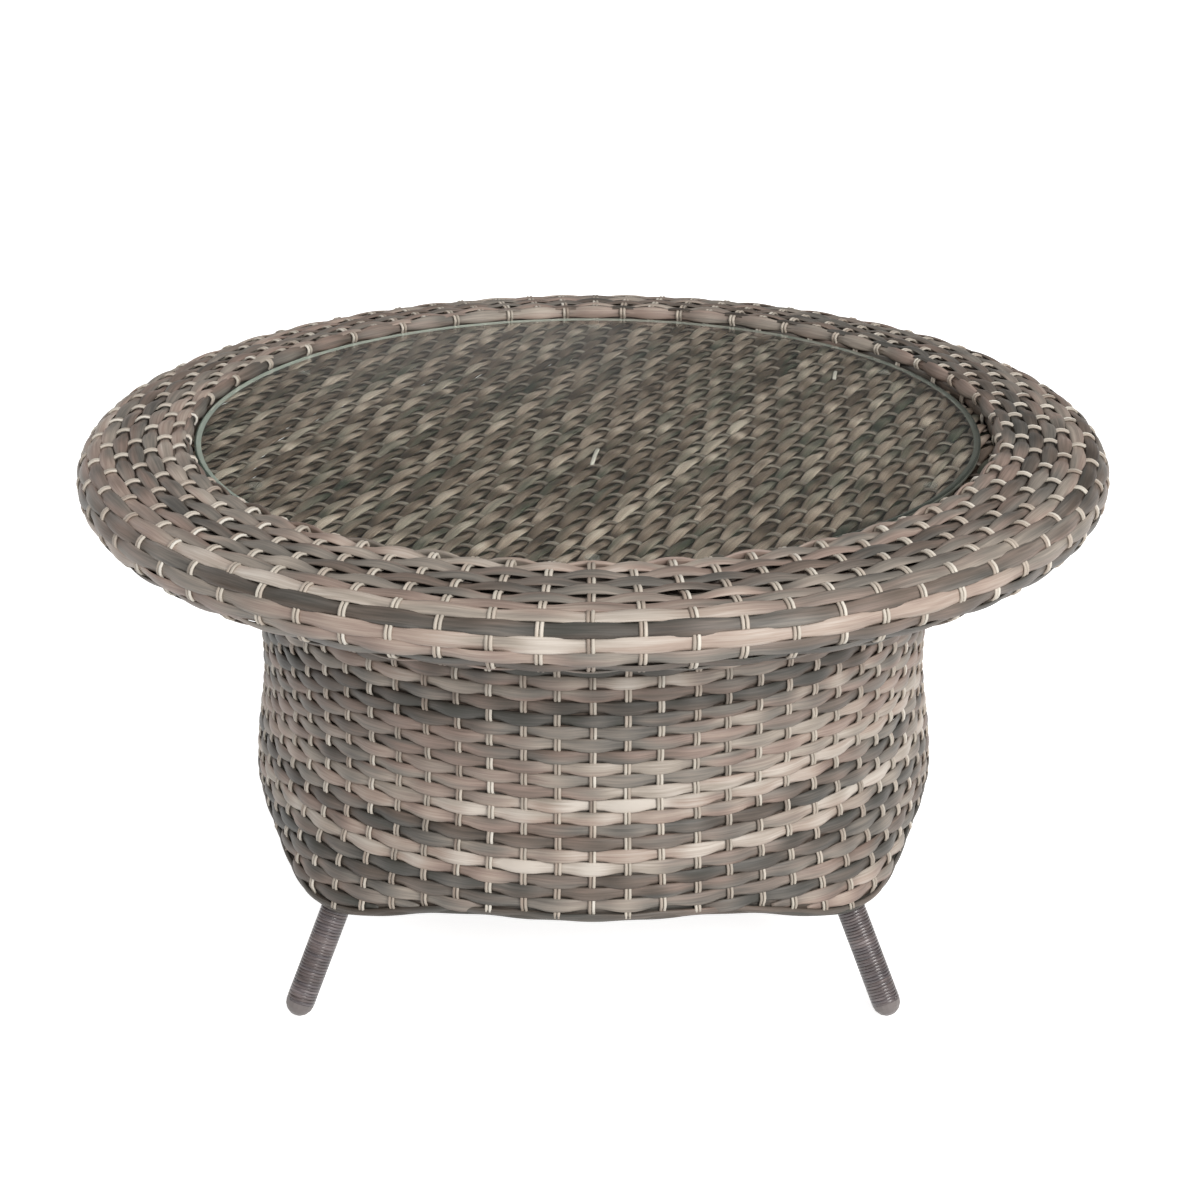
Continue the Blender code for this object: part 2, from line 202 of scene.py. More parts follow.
# Tones run from 0, near black, to 1, cream: the barrel's rows from the top, seen from the front
BODY_TONES = [0.28, 0.40, 0.32, 0.50, 0.37, 0.10, 0.82, 0.52, 0.16, 0.18, 0.56, 0.62, 0.36, 0.74, 0.58, 0.62,
              0.90, 0.80, 0.36, 0.16, 0.85, 0.92, 0.30, 0.20, 0.58, 0.52, 0.14, 0.60, 0.80, 0.42, 0.30]
# The rim's rows from the recess wall outwards and under
RIM_TONES = [0.12, 0.66, 0.66, 0.58, 0.36, 0.36, 0.60, 0.52, 0.80, 0.08, 0.84, 0.50, 0.16, 0.38, 0.60, 0.30,
             0.20, 0.55, 0.70, 0.40, 0.25, 0.50, 0.35, 0.20]

# Domed strand section: (across, up), both from -1 to 1
STRAND_SECTION = np.array([(-1.0, -0.30), (-0.90, 0.26), (-0.62, 0.72), (-0.22, 0.98), (0.22, 0.98),
                           (0.62, 0.72), (0.90, 0.26), (1.0, -0.30), (0.5, -0.75), (-0.5, -0.75)])
WRAP_SECTION = np.array([(-1.0, 0.60), (-0.60, 1.00), (0.60, 1.00), (1.0, 0.60), (0.6, -0.9), (-0.6, -0.9)])
FLAT_SECTION = np.array([(-1.0, 0.0), (-0.6, 1.0), (0.6, 1.0), (1.0, 0.0), (0.6, -1.0), (-0.6, -1.0)])
CORD_SECTION = np.array([(math.cos(t), math.sin(t)) for t in np.linspace(math.pi, -math.pi, 7)[:-1]])


# ---------------------------------------------------------------- strands

def unit(v):
    return v / np.maximum(np.linalg.norm(v, axis=-1, keepdims=True), 1e-12)


class Strands:
    """Collects swept strands and makes one mesh of them."""

    def __init__(self, section):
        self.section = section
        self.points = []
        self.quads = []
        self.strand = []
        self.tone = []
        self.count = 0

    def add(self, centres, normals, half_width, half_thickness, tone, seed, closed, roll=None):
        """One strand along centres. Normals point out of the weave. Sizes and tones are per centre."""
        n = len(centres)
        m = len(self.section)
        if closed:
            tangent = np.roll(centres, -1, axis=0) - np.roll(centres, 1, axis=0)
            step = np.linalg.norm(np.roll(centres, -1, axis=0) - centres, axis=1)
        else:
            tangent = np.gradient(centres, axis=0)
            step = np.linalg.norm(np.diff(centres, axis=0, append=centres[-1:]), axis=1)
        along = np.concatenate([[0.0], np.cumsum(step)[:-1]])
        tangent = unit(tangent)
        side = unit(np.cross(tangent, normals))
        up = np.cross(side, tangent)
        if roll is not None:
            c, s = np.cos(roll)[:, None], np.sin(roll)[:, None]
            side, up = side * c + up * s, up * c - side * s
        across = self.section[None, :, 0] * np.broadcast_to(half_width, n)[:, None]
        lift = self.section[None, :, 1] * np.broadcast_to(half_thickness, n)[:, None]
        ring = centres[:, None, :] + across[..., None] * side[:, None, :] + lift[..., None] * up[:, None, :]
        first = np.arange(n)[:, None] * m
        here = np.arange(m)[None, :]
        there = np.roll(np.arange(m), -1)[None, :]
        after = np.roll(np.arange(n), -1)[:, None] * m
        quads = np.stack([first + here, first + there, after + there, after + here], axis=-1)
        if not closed:
            quads = quads[:-1]
        quads = quads.reshape(-1, 4)
        if not closed:
            half = m // 2
            caps = []
            for i in range(half - 1):
                a, b, c, d = i, i + 1, m - 2 - i, m - 1 - i
                caps.append((a, d, c, b))
                last = (n - 1) * m
                caps.append((last + a, last + b, last + c, last + d))
            quads = np.concatenate([quads, np.array(caps)])
        self.points.append(ring.reshape(-1, 3))
        self.quads.append(quads + self.count)
        facts = np.zeros((n, m, 3))
        facts[..., 0] = along[:, None]
        facts[..., 1] = across
        facts[..., 2] = seed
        self.strand.append(facts.reshape(-1, 3))
        self.tone.append(np.repeat(np.broadcast_to(tone, n), m))
        self.count += n * m

    def build(self, name, material, body, slot, replaced):
        """Make the mesh, with each point's place on its strand and its tone kept for the material."""
        points = np.concatenate(self.points)
        quads = np.concatenate(self.quads)
        mesh = bpy.data.meshes.new(name)
        mesh.vertices.add(len(points))
        mesh.vertices.foreach_set("co", points.astype(np.float32).ravel())
        mesh.loops.add(quads.size)
        mesh.loops.foreach_set("vertex_index", quads.astype(np.int32).ravel())
        mesh.polygons.add(len(quads))
        mesh.polygons.foreach_set("loop_start", np.arange(0, quads.size, 4, dtype=np.int32))
        mesh.update(calc_edges=True)
        mesh.validate()
        strand = mesh.attributes.new("strand", "FLOAT_VECTOR", "POINT")
        strand.data.foreach_set("vector", np.concatenate(self.strand).astype(np.float32).ravel())
        tone = mesh.attributes.new("tone", "FLOAT", "POINT")
        tone.data.foreach_set("value", np.concatenate(self.tone).astype(np.float32))
        mesh.shade_smooth()
        mesh.materials.append(material)
        item = bpy.data.objects.new(name, mesh)
        bpy.context.scene.collection.objects.link(item)
        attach(item, body)
        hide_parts(*replaced)


def ripple(rng, angle, orders, size):
    """A smooth random wave that closes on itself round the table."""
    total = np.zeros_like(angle)
    for order in orders:
        total += rng.normal() * np.sin(order * angle + rng.uniform(0.0, TAU))
    return total * size / math.sqrt(len(orders))


def new_seed(rng):
    """Where in the noise a strand's streaks start."""
    return rng.uniform(0, 50)


def crest(phase):
    """Height of a woven strand: 1 where it passes over and -1 where it passes under, with steep dives."""
    wave = np.cos(math.pi * phase)
    return np.sign(wave) * np.abs(wave) ** 0.75


def weaver_width(height, narrow, wide):
    return narrow + (wide - narrow) * (0.5 + 0.5 * height)


def polar(radius, angle, z):
    z = np.broadcast_to(z, np.shape(angle))
    return np.stack([radius * np.cos(angle), radius * np.sin(angle), z], axis=-1)


# ---------------------------------------------------------------- rim

def rim_arc(centre_r, centre_z, radius, start, stop, count):
    """Rows of r, z, and the outward normal's r and z, along an arc. Angles are from straight up."""
    turn = np.linspace(start, stop, count)
    across, up = np.sin(turn), np.cos(turn)
    return np.stack([centre_r + radius * across, centre_z + radius * up, across, up], 1)


def rim_outline():
    """Outline of the rim from the recess wall to the underside: arc length, and rows like rim_arc's."""
    edge_r = OPENING_R + EDGE_RADIUS
    top_r = NOSE_R + NOSE_RADIUS * math.sin(TOP_FALL)
    top_z = NOSE_Z + NOSE_RADIUS * math.cos(TOP_FALL)
    edge_z = top_z + (top_r - edge_r) * math.tan(TOP_FALL) - EDGE_RADIUS
    wall_z = np.linspace(WALL_LOW_Z, edge_z, 20)
    one = np.ones_like(wall_z)
    wall = np.stack([OPENING_R * one, wall_z, -one, 0.0 * one], 1)
    edge = rim_arc(edge_r, edge_z, EDGE_RADIUS, -math.pi / 2, TOP_FALL, 30)[1:]
    nose = rim_arc(NOSE_R, NOSE_Z, NOSE_RADIUS, TOP_FALL, math.pi, 90)
    run = np.linspace(NOSE_R, UNDERSIDE_IN_R, 60)[1:]
    one = np.ones_like(run)
    underside = np.stack([run, (NOSE_Z - NOSE_RADIUS) * one, 0.0 * one, -one], 1)
    line = np.concatenate([wall, edge, nose, underside])
    length = np.concatenate([[0.0], np.cumsum(np.linalg.norm(np.diff(line[:, :2], axis=0), axis=1))])
    return length, line


RIM_LENGTH, RIM_LINE = rim_outline()


def rim_at(distance):
    return [np.interp(distance, RIM_LENGTH, RIM_LINE[:, i]) for i in range(4)]


def rim_row(row):
    """How a row of the rim waves, and its half width where it dives and at its crest."""
    return next(shape[1:] for shape in RIM_ROW_SHAPES if row <= shape[0])


def make_rim(weaver_material, warp_material):
    """Closed rows round the rim, then its cords."""
    rng = np.random.default_rng(11)
    steps = RIM_WARPS * STEPS_PER_WARP
    angle = np.linspace(0.0, TAU, steps, endpoint=False)
    warp_place = angle / TAU * RIM_WARPS
    top, under = Strands(STRAND_SECTION), Strands(STRAND_SECTION)
    for row in range(RIM_ROWS):
        drift = ripple(rng, angle, (2, 3, 5), 0.0004)
        distance = RIM_FIRST_ROW + RIM_PITCH * row + drift
        r, z, nr, nz = rim_at(distance)
        height = crest(warp_place + row)
        wave, narrow, wide = rim_row(row)
        lift = -WEAVE_DEPTH + wave * height
        if row <= LIP_ROW:
            lift = lift - LIP_DROP
        centres = polar(r + nr * lift, angle, z + nz * lift)
        normals = polar(nr, angle, nz)
        width = weaver_width(height, narrow, wide) * (1.0 + ripple(rng, angle, WIDTH_WAVES, 0.04))
        shift = 0.6 * np.sin(angle + 0.5 * math.pi)
        tone = np.interp(row + shift, np.arange(RIM_ROWS), RIM_TONES)
        tone = tone + ripple(rng, angle, TONE_WAVES, 0.10) + ripple(rng, angle, (31, 37, 43, 53), 0.08)
        # Painted shade: the rim darker towards its right side
        tone = tone - RIM_RIGHT_DARK * np.maximum(np.cos(angle - 0.1), 0.0)
        # Painted shade: the lip's row darker towards the back right
        if row == LIP_ROW:
            tone = tone - LIP_DARK * np.maximum(np.cos(angle - LIP_DARK_ANGLE), 0.0) ** 2
        roll = ripple(rng, angle, ROLL_WAVES, 0.10)
        target = top if row < RIM_TOP_ROWS else under
        target.add(centres, normals, width, WEAVER_HALF_THICKNESS, tone, new_seed(rng), True, roll)
    top.build("rim_weavers_top", weaver_material, "table", "rim_wicker", ["rim_weave"])
    under.build("rim_weavers_under", weaver_material, "table", "rim_wicker", ["rim_weave"])
    make_rim_warps(rng, warp_material)


def make_rim_warps(rng, material):
    """Twin cords from the recess wall over the rim and back under it."""
    warps = Strands(CORD_SECTION)
    distance = np.linspace(0.0005, RIM_FIRST_ROW + RIM_PITCH * (RIM_ROWS - 0.5), RIM_ROWS * 4 + 1)
    distance = np.minimum(distance, RIM_LENGTH[-1])
    r, z, nr, nz = rim_at(distance)
    row_place = (distance - RIM_FIRST_ROW) / RIM_PITCH
    wave = np.interp(row_place, (-1.0, 0.5, 6.5, 8.0, 24.0), (0.0013, 0.0020, 0.0020, 0.0014, 0.0014))
    apart, half_width, half_thickness, cord_tone = RIM_CORD
    for warp in range(RIM_WARPS):
        base = TAU * warp / RIM_WARPS + rng.normal() * 0.0012
        sway = np.interp(row_place, np.linspace(-1, RIM_ROWS, 9), rng.normal(size=9) * 0.0007)
        place = np.full_like(r, base)
        normals = polar(nr, place, nz)
        tangent = np.array([-math.sin(base), math.cos(base), 0.0])
        lift = -WEAVE_DEPTH + CORD_RISE - wave * crest(row_place + warp)
        for twin in (-1, 1):
            centres = polar(r + nr * lift, place, z + nz * lift)
            centres = centres + (twin * apart + sway)[:, None] * tangent
            tone = cord_tone + TWIN_TONE * twin + rng.normal() * 0.10
            tone = tone + ripple(rng, row_place, CORD_WAVES, 0.12)
            warps.add(centres, normals, half_width, half_thickness, tone, new_seed(rng), False)
    warps.build("rim_warps", material, "table", "rim_wicker", ["rim_weave"])


def make_rim_backing(material):
    """Flat strands inside the rim, one behind each join between two rows."""
    rng = np.random.default_rng(13)
    angle = np.linspace(0.0, TAU, RIM_WARPS * 2, endpoint=False)
    backing = Strands(FLAT_SECTION)
    depth, half_width, half_thickness, backing_tone = RIM_BACKING
    for row in range(RIM_ROWS - 1):
        r, z, nr, nz = rim_at(np.full_like(angle, RIM_FIRST_ROW + RIM_PITCH * (row + 0.5)))
        centres = polar(r - nr * depth, angle, z - nz * depth)
        tone = backing_tone + ripple(rng, angle, (2, 3, 5, 8), 0.06)
        normals = polar(nr, angle, nz)
        backing.add(centres, normals, half_width, half_thickness, tone, new_seed(rng), True)
    backing.build("rim_backing", material, "table", "rim_wicker", ["rim_weave"])


# ---------------------------------------------------------------- barrel

def ease(value, low, high):
    share = np.clip((value - low) / (high - low), 0.0, 1.0)
    return share * share * (3.0 - 2.0 * share)


def body_radius(angle, z):
    close = np.abs(np.sin(2.0 * angle))
    flare = (BODY_LOW_R - BODY_TOP_R) * ease(FLARE_TOP_Z - z, 0.0, FLARE_TOP_Z - FLARE_LOW_Z)
    bulge = BULGE * ease(BULGE_TOP_Z - z, 0.0, BULGE_TOP_Z - BULGE_LOW_Z)
    return BODY_TOP_R + flare + bulge * close ** BULGE_POWER


def edge_height(angle):
    return EDGE_HIGH_Z - EDGE_DIP * np.abs(np.sin(2.0 * angle)) ** EDGE_POWER


def body_at(angle, z, lift):
    """Points at a lift over the barrel's skin, and the skin's normals."""
    d = 0.0005

    def skin(a, height):
        return polar(body_radius(a, height), a, height)

    round_way = skin(angle + d, z) - skin(angle - d, z)
    up_way = skin(angle, z + d) - skin(angle, z - d)
    normal = unit(np.cross(round_way, up_way))
    return skin(angle, z) + normal * np.asarray(lift)[..., None], normal


def stretches(inside):
    """The stretches of a ring where inside holds: their indices, and whether one is the whole ring."""
    total = len(inside)
    if inside.all():
        return [(np.arange(total), True)]
    found = []
    for start in np.where(inside & ~np.roll(inside, 1))[0]:
        count = 0
        while inside[(start + count) % total]:
            count += 1
        if count >= SHORTEST_STRETCH:
            found.append(((start + np.arange(count)) % total, False))
    return found


def end_share(count, closed):
    """1 along a strand, falling to 0 at the ends of an open one."""
    if closed:
        return np.ones(count)
    near_end = np.minimum(np.arange(count), np.arange(count)[::-1])
    return np.clip(near_end / END_STEPS, 0.0, 1.0)


def body_tone(rng, row, angle):
    """Tone of a row of the barrel: the row tones, shifted from left to right, with random streaks."""
    shift = BODY_TONE_SHIFT * np.sin(angle + 0.5 * math.pi)
    tone = np.interp(row + shift, np.arange(len(BODY_TONES)), BODY_TONES)
    tone = tone + ripple(rng, angle, TONE_WAVES, 0.10) + ripple(rng, angle, (29, 37, 43, 53), 0.08)
    # Painted shade: darker towards the barrel's left side
    return tone - BODY_DARK - BODY_LEFT_DARK * np.maximum(-np.cos(angle), 0.0)


def make_body(weaver_material, warp_material):
    """Rows round the barrel that stop at its scalloped edge, the border, then the cords."""
    rng = np.random.default_rng(23)
    angle = np.linspace(0.0, TAU, BODY_WARPS * STEPS_PER_WARP, endpoint=False)
    warp_place = angle / TAU * BODY_WARPS
    upper, lower = Strands(STRAND_SECTION), Strands(STRAND_SECTION)
    low_edge = edge_height(angle)
    for row in range(BODY_ROWS):
        z = BODY_TOP_Z - BODY_PITCH * (row + 0.5) + ripple(rng, angle, (2, 3, 5), 0.0003)
        height = crest(warp_place + row)
        lift = -WEAVE_DEPTH + BODY_WAVE * height
        width = weaver_width(height, *BODY_HALF_WIDTHS) * (1.0 + ripple(rng, angle, WIDTH_WAVES, 0.04))
        tone = body_tone(rng, row, angle)
        roll = ripple(rng, angle, ROLL_WAVES, 0.10)
        seed = new_seed(rng)
        target = upper if row < BODY_ROWS // 2 else lower
        for pick, closed in stretches(z - low_edge - BODY_ROW_END > 0.0):
            whole = end_share(len(pick), closed)
            centres, normals = body_at(angle[pick], z[pick], lift[pick] - BODY_END_TUCK * (1.0 - whole))
            half_width = width[pick] * (END_SHARE + (1.0 - END_SHARE) * whole)
            target.add(centres, normals, half_width, WEAVER_HALF_THICKNESS, tone[pick], seed, closed,
                       roll[pick])
    for turn, (rise, depth, half_width, border_tone) in enumerate(BORDER_STRANDS):
        height = crest(warp_place + BODY_ROWS + turn)
        centres, normals = body_at(angle, low_edge + rise, -depth + BORDER_WAVE * height)
        tone = border_tone + ripple(rng, angle, (3, 5, 8, 11), 0.12)
        lower.add(centres, normals, half_width, WEAVER_HALF_THICKNESS, tone, new_seed(rng), True)
    upper.build("body_weavers_upper", weaver_material, "table", "body_wicker", ["body_weave"])
    lower.build("body_weavers_lower", weaver_material, "table", "body_wicker", ["body_weave"])
    make_body_warps(rng, warp_material)


def make_body_warps(rng, material):
    """Twin cords down the barrel to its scalloped edge."""
    warps = Strands(CORD_SECTION)
    apart, half_width, half_thickness, cord_tone = BODY_CORD
    for warp in range(BODY_WARPS):
        base = TAU * warp / BODY_WARPS + rng.normal() * 0.0016
        low = float(edge_height(np.array(base))) + 0.002
        z = np.arange(BODY_TOP_Z - 0.001, low, -BODY_PITCH / 4.0)
        row_place = (BODY_TOP_Z - z) / BODY_PITCH - 0.5
        sway = np.interp(row_place, np.linspace(-1, BODY_ROWS, 9), rng.normal(size=9) * 0.0006)
        lift = -WEAVE_DEPTH + CORD_RISE - BODY_WAVE * crest(row_place + warp)
        for twin in (-1, 1):
            spread = (twin * apart + sway) / BODY_TOP_R
            centres, normals = body_at(base + spread, z, lift)
            tone = cord_tone + TWIN_TONE * twin + rng.normal() * 0.12
            tone = tone + ripple(rng, row_place, CORD_WAVES, 0.12)
            warps.add(centres, normals, half_width, half_thickness, tone, new_seed(rng), False)
    warps.build("body_warps", material, "table", "body_wicker", ["body_weave"])


def make_body_backing(material):
    """Flat strands behind the barrel's weave: one behind each join between rows, and two along the edge."""
    rng = np.random.default_rng(29)
    angle = np.linspace(0.0, TAU, BODY_WARPS * 2, endpoint=False)
    backing = Strands(FLAT_SECTION)
    low_edge = edge_height(angle)
    depth, half_width, half_thickness, backing_tone = BODY_BACKING
    for row in range(BODY_ROWS):
        z = BODY_TOP_Z - BODY_PITCH * (row + 1.0)
        tone = backing_tone + ripple(rng, angle, (2, 3, 5, 8), 0.08)
        seed = new_seed(rng)
        for pick, closed in stretches(z - low_edge - BODY_BACKING_RISE > 0.0):
            centres, normals = body_at(angle[pick], np.full(len(pick), z), np.full(len(pick), -depth))
            backing.add(centres, normals, half_width, half_thickness, tone[pick], seed, closed)
    depth, half_width, half_thickness, backing_tone = BORDER_BACKING
    for rise in BORDER_BACKING_RISES:
        centres, normals = body_at(angle, low_edge + rise, np.full(len(angle), -depth))
        backing.add(centres, normals, half_width, half_thickness, backing_tone, new_seed(rng), True)
    backing.build("body_backing", material, "table", "body_wicker", ["body_weave"])


# ---------------------------------------------------------------- deck

def deck_reach(place):
    """Half the length of a strand across the deck, at a distance from its centre."""
    return math.sqrt(max(DECK_R ** 2 - place ** 2, 0.0))


def up_normals(count):
    return np.tile(UP, (count, 1))


def make_deck(weaver_material, warp_material):
    """Rows of strands across the deck, then its cords."""
    rng = np.random.default_rng(37)
    weavers = Strands(STRAND_SECTION)
    rows = int(DECK_R / DECK_PITCH)
    for row in range(-rows, rows + 1):
        place = row * DECK_PITCH
        reach = deck_reach(place)
        if reach < DECK_SHORTEST:
            continue
        count = max(12, int(2 * reach / DECK_WARP_PITCH * STEPS_PER_WARP))
        along = np.linspace(-reach, reach, count)
        height = crest(along / DECK_WARP_PITCH + row)
        centres = along[:, None] * DECK_RUN + place * DECK_CROSS
        centres[:, 2] = DECK_MIDDLE_Z + DECK_WAVE * height
        phase = along * DECK_PHASE
        tone = DECK_TONE + 0.18 * math.sin(row * 1.45 + 0.8 * math.sin(row * 0.37)) + rng.normal() * 0.07
        tone = tone + ripple(rng, phase, (1, 2, 3, 5), 0.10) + ripple(rng, phase, (9, 13, 17, 22), 0.13)
        # Painted highlight and shade: paler where the strand crests over a cord, darker where it dives under
        # one
        tone = tone + 0.10 * height
        width = weaver_width(height, *DECK_HALF_WIDTHS)
        roll = ripple(rng, phase, (5, 9), 0.10)
        normals = up_normals(count)
        weavers.add(centres, normals, width, DECK_HALF_THICKNESS, tone, new_seed(rng), False, roll)
    weavers.build("deck_weavers", weaver_material, "table", "deck_wicker", ["deck_weave"])
    make_deck_warps(rng, warp_material)


def make_deck_warps(rng, material):
    """Twin cords across the deck's rows, and the two loose strand ends."""
    warps = Strands(CORD_SECTION)
    apart, half_width, half_thickness, cord_tone = DECK_CORD
    columns = int(DECK_R / DECK_WARP_PITCH)
    for column in range(-columns, columns + 1):
        place = column * DECK_WARP_PITCH
        reach = deck_reach(place)
        if reach < DECK_SHORTEST:
            continue
        count = int(2 * reach / DECK_PITCH * 4)
        along = np.linspace(-reach, reach, count)
        sway = np.interp(along, np.linspace(-reach, reach, 9), rng.normal(size=9) * 0.0008)
        for twin in (-1, 1):
            centres = along[:, None] * DECK_CROSS + (place + sway + twin * apart)[:, None] * DECK_RUN
            centres[:, 2] = DECK_MIDDLE_Z + 0.0001 - 0.0013 * crest(along / DECK_PITCH + column)
            tone = cord_tone + rng.normal() * 0.10 + ripple(rng, along * DECK_PHASE, (7, 12, 19, 31), 0.16)
            warps.add(centres, up_normals(count), half_width, half_thickness, tone, new_seed(rng), False)
    share = np.linspace(0.0, 1.0, LOOSE_END_POINTS)[:, None]
    for start, stop in LOOSE_ENDS:
        centres = np.array([*start, 0.0]) * (1.0 - share) + np.array([*stop, 0.0]) * share
        centres[:, 2] = DECK_TOP_Z - 0.0014 + 0.0010 * np.sin(math.pi * share[:, 0])
        warps.add(centres, up_normals(LOOSE_END_POINTS), 0.0019, 0.0006, 1.0, new_seed(rng), False)
    warps.build("deck_warps", material, "table", "deck_wicker", ["deck_weave"])


def make_deck_backing(material):
    """Flat strands under the deck's weave, behind the joins between its rows, dark as painted shade in the
    gaps.
    """
    rng = np.random.default_rng(39)
    backing = Strands(FLAT_SECTION)
    rows = int(DECK_R / DECK_PITCH)
    half_width, half_thickness, backing_tone = DECK_BACKING
    for row in range(-rows, rows):
        place = (row + 0.5) * DECK_PITCH
        reach = deck_reach(place)
        along = np.linspace(-reach, reach, DECK_BACKING_POINTS)
        centres = along[:, None] * DECK_RUN + place * DECK_CROSS
        centres[:, 2] = DECK_LOW_Z + 0.0003
        tone = backing_tone + ripple(rng, along * DECK_PHASE, (1, 2, 3), 0.06)
        normals = up_normals(DECK_BACKING_POINTS)
        backing.add(centres, normals, half_width, half_thickness, tone, new_seed(rng), False)
    backing.build("deck_backing", material, "table", "deck_wicker", ["deck_weave"])


# ---------------------------------------------------------------- legs

def make_legs(material):
    """One strand wound down each leg, with a plain ring at each end of the winding."""
    rng = np.random.default_rng(41)
    for number, angle in enumerate(LEG_ANGLES, start=1):
        foot = np.array([FOOT_R * math.cos(angle), FOOT_R * math.sin(angle), FOOT_Z])
        out = np.array([math.cos(angle), math.sin(angle), 0.0])
        direction = unit(UP * math.cos(LEG_SPLAY) - out * math.sin(LEG_SPLAY))
        side = unit(np.cross(direction, out))
        front = np.cross(side, direction)
        length = (WRAP_TOP_Z - FOOT_Z) / math.cos(LEG_SPLAY)
        turns = (length - WRAP_PITCH) / WRAP_PITCH
        steps = int(turns * WRAP_STEPS)
        t = np.linspace(0.0, 1.0, steps)
        turn = TAU * turns * t
        travel = WRAP_PITCH * 0.5 + (length - WRAP_PITCH) * t
        normal = np.cos(turn)[:, None] * front + np.sin(turn)[:, None] * side
        centres = foot + travel[:, None] * direction + normal * (LEG_WRAP_R - 0.0006)
        tone = 0.46 + ripple(rng, t * TAU, (2, 3, 5, 7), 0.08) + ripple(rng, t * TAU, (61, 83, 107), 0.06)
        wrap = Strands(WRAP_SECTION)
        wrap.add(centres, normal, WRAP_HALF_WIDTH, WRAP_HALF_THICKNESS, tone, new_seed(rng), False)
        circle = np.linspace(0.0, TAU, WRAP_STEPS, endpoint=False)
        normal = np.cos(circle)[:, None] * front + np.sin(circle)[:, None] * side
        for travel in (WRAP_PITCH * 0.5, length - WRAP_PITCH * 0.5):
            centres = foot + travel * direction + normal * (LEG_WRAP_R - 0.0007)
            wrap.add(centres, normal, WRAP_HALF_WIDTH, WRAP_HALF_THICKNESS, 0.5, new_seed(rng), True)
        wrap.build(f"leg_strand_{number}", material, "table", "leg_strand", [f"leg_wrap_{number}"])


# ---------------------------------------------------------------- materials

def new_material(name):
    material = bpy.data.materials.new(name)
    material.use_nodes = True
    tree = material.node_tree
    return material, tree, tree.nodes["Principled BSDF"]


def ramp(tree, stops):
    node = tree.nodes.new("ShaderNodeValToRGB")
    elements = node.color_ramp.elements
    while len(elements) > 1:
        elements.remove(elements[-1])
    elements[0].position = stops[0][0]
    elements[0].color = (*stops[0][1], 1.0)
    for position, colour in stops[1:]:
        elements.new(position).color = (*colour, 1.0)
    return node


def noise(tree, vector, scale, detail):
    mapping = tree.nodes.new("ShaderNodeMapping")
    mapping.inputs["Scale"].default_value = scale
    tree.links.new(vector, mapping.inputs["Vector"])
    node = tree.nodes.new("ShaderNodeTexNoise")
    node.inputs["Scale"].default_value = 1.0
    node.inputs["Detail"].default_value = detail
    node.inputs["Roughness"].default_value = 0.55
    tree.links.new(mapping.outputs["Vector"], node.inputs["Vector"])
    return node.outputs["Fac"]


def maths(tree, operation, a, b, c=None):
    """One maths node. Each of a, b and c is a number or another node's output."""
    node = tree.nodes.new("ShaderNodeMath")
    node.operation = operation
    for socket, value in zip(node.inputs, (a, b, c)):
        if value is None:
            continue
        if isinstance(value, (int, float)):
            socket.default_value = value
        else:
            tree.links.new(value, socket)
    return node.outputs[0]


def bump(tree, shader, height, strength, distance):
    node = tree.nodes.new("ShaderNodeBump")
    node.inputs["Strength"].default_value = strength
    node.inputs["Distance"].default_value = distance
    tree.links.new(height, node.inputs["Height"])
    tree.links.new(node.outputs["Normal"], shader.inputs["Normal"])


def vary_colour(tree, shader, value, stops):
    tint = ramp(tree, stops)
    tree.links.new(value, tint.inputs["Fac"])
    tree.links.new(tint.outputs["Color"], shader.inputs["Base Color"])


def vary_roughness(tree, shader, value, limits):
    rough = tree.nodes.new("ShaderNodeMapRange")
    rough.inputs["To Min"].default_value, rough.inputs["To Max"].default_value = limits
    tree.links.new(value, rough.inputs["Value"])
    tree.links.new(rough.outputs["Result"], shader.inputs["Roughness"])


def add_streaks(tree, value, streaks, size):
    """The value, raised and lowered by up to half of size where the streaks say so."""
    return maths(tree, "MULTIPLY_ADD", streaks, size, maths(tree, "SUBTRACT", value, size / 2.0))


def strand_material(name, cool, warm, streak=0.20, roughness=(0.40, 0.62), specular=0.45, run=14.0,
                    cool_share=0.5):
    """Extruded resin strand: its tone runs along it in long streaks, with fine lengthwise grooves.

    run is how often the tone changes in a metre, and cool_share how much of the strand is grey, not brown.
    """
    material, tree, shader = new_material(name)
    strand = tree.nodes.new("ShaderNodeAttribute")
    strand.attribute_name = "strand"
    tone = tree.nodes.new("ShaderNodeAttribute")
    tone.attribute_name = "tone"
    broad = noise(tree, strand.outputs["Vector"], (run, 220.0, 3.7), 2.0)
    fine = noise(tree, strand.outputs["Vector"], (45.0, 1500.0, 5.1), 3.0)
    groove = noise(tree, strand.outputs["Vector"], (24.0, 640.0, 6.3), 2.0)
    value = add_streaks(tree, tone.outputs["Fac"], broad, streak * 2.0)
    value = add_streaks(tree, value, fine, streak * 1.2)
    value = add_streaks(tree, value, groove, streak * 1.8)
    hue = noise(tree, strand.outputs["Vector"], (7.0, 60.0, 9.3), 1.0)
    middle = 0.38 + 0.24 * cool_share
    share = ramp(tree, [(middle - 0.09, (0.0, 0.0, 0.0)), (middle + 0.09, (1.0, 1.0, 1.0))])
    tree.links.new(hue, share.inputs["Fac"])
    blend = tree.nodes.new("ShaderNodeMix")
    blend.data_type = "RGBA"
    tree.links.new(share.outputs["Color"], blend.inputs["Factor"])
    for stops, socket in ((cool, blend.inputs[6]), (warm, blend.inputs[7])):
        colour = ramp(tree, stops)
        tree.links.new(value, colour.inputs["Fac"])
        tree.links.new(colour.outputs["Color"], socket)
    tree.links.new(blend.outputs[2], shader.inputs["Base Color"])
    vary_roughness(tree, shader, broad, roughness)
    shader.inputs["Specular IOR Level"].default_value = specular
    bump(tree, shader, fine, 0.35, 0.0004)
    return material


